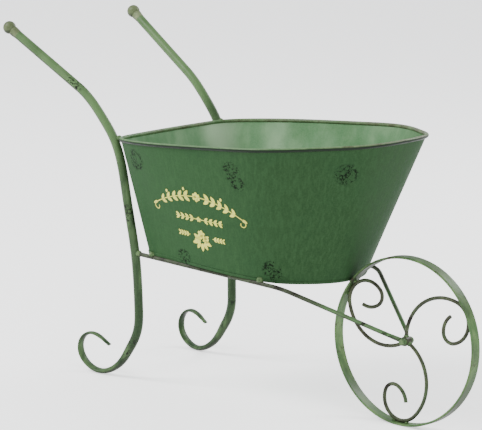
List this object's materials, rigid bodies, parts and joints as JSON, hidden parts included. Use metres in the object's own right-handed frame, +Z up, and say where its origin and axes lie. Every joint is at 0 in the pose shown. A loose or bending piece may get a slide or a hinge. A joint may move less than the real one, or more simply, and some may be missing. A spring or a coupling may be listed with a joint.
{
  "type": "wheelbarrow planter",
  "caption": "Small painted metal garden wheelbarrow planter: sheet tub with rolled rim, tube handle legs with curled feet, and one wheel with scroll spokes.",
  "frame": {"origin": "on the ground, at the middle of the bounding box's bottom face", "axes": "+X from the handles to the wheel, +Y to the left of a person pushing it, +Z up"},
  "size_m": [0.803, 0.3508, 0.5143],
  "materials": {
    "tub_paint": "satin green paint, brushed, worn in spots",
    "rim_paint": "pale green paint rubbed through on the edge",
    "handle_paint": "sage paint over darker green",
    "knob_paint": "grey-green paint, rubbed",
    "rod_paint": "pewter-brown paint over green",
    "ring_paint": "sage paint, brown at the edges",
    "weld_paint": "painted weld bead",
    "axle_metal": "dull dark paint"
  },
  "bodies": {
    "barrow": {"tub_wall": "tub_paint", "tub_floor": "tub_paint", "base_hem": "tub_paint", "rim_bead": "rim_paint", "axle_pin": "axle_metal", "left_handle_leg": "handle_paint", "left_knob": "knob_paint", "left_side_rail": "rod_paint", "left_washer": "axle_metal", "left_rail_weld": "weld_paint", "left_rim_weld": "weld_paint", "left_tub_welds": "weld_paint", "right_handle_leg": "handle_paint", "right_knob": "knob_paint", "right_side_rail": "rod_paint", "right_washer": "axle_metal", "right_rail_weld": "weld_paint", "right_rim_weld": "weld_paint", "right_tub_welds": "weld_paint"},
    "wheel": {"wheel_ring": "ring_paint", "wheel_hub": "rod_paint", "scroll_spoke_1": "rod_paint", "scroll_spoke_2": "rod_paint", "scroll_spoke_3": "rod_paint", "ring_welds": "weld_paint", "hub_welds": "weld_paint"}
  },
  "joints": [
    {"name": "wheel_spin", "type": "hinge", "parent": "barrow", "child": "wheel", "pos_m": [0.2765, 0, 0.125], "axis": [0, 1, 0], "continuous": true}
  ]
}
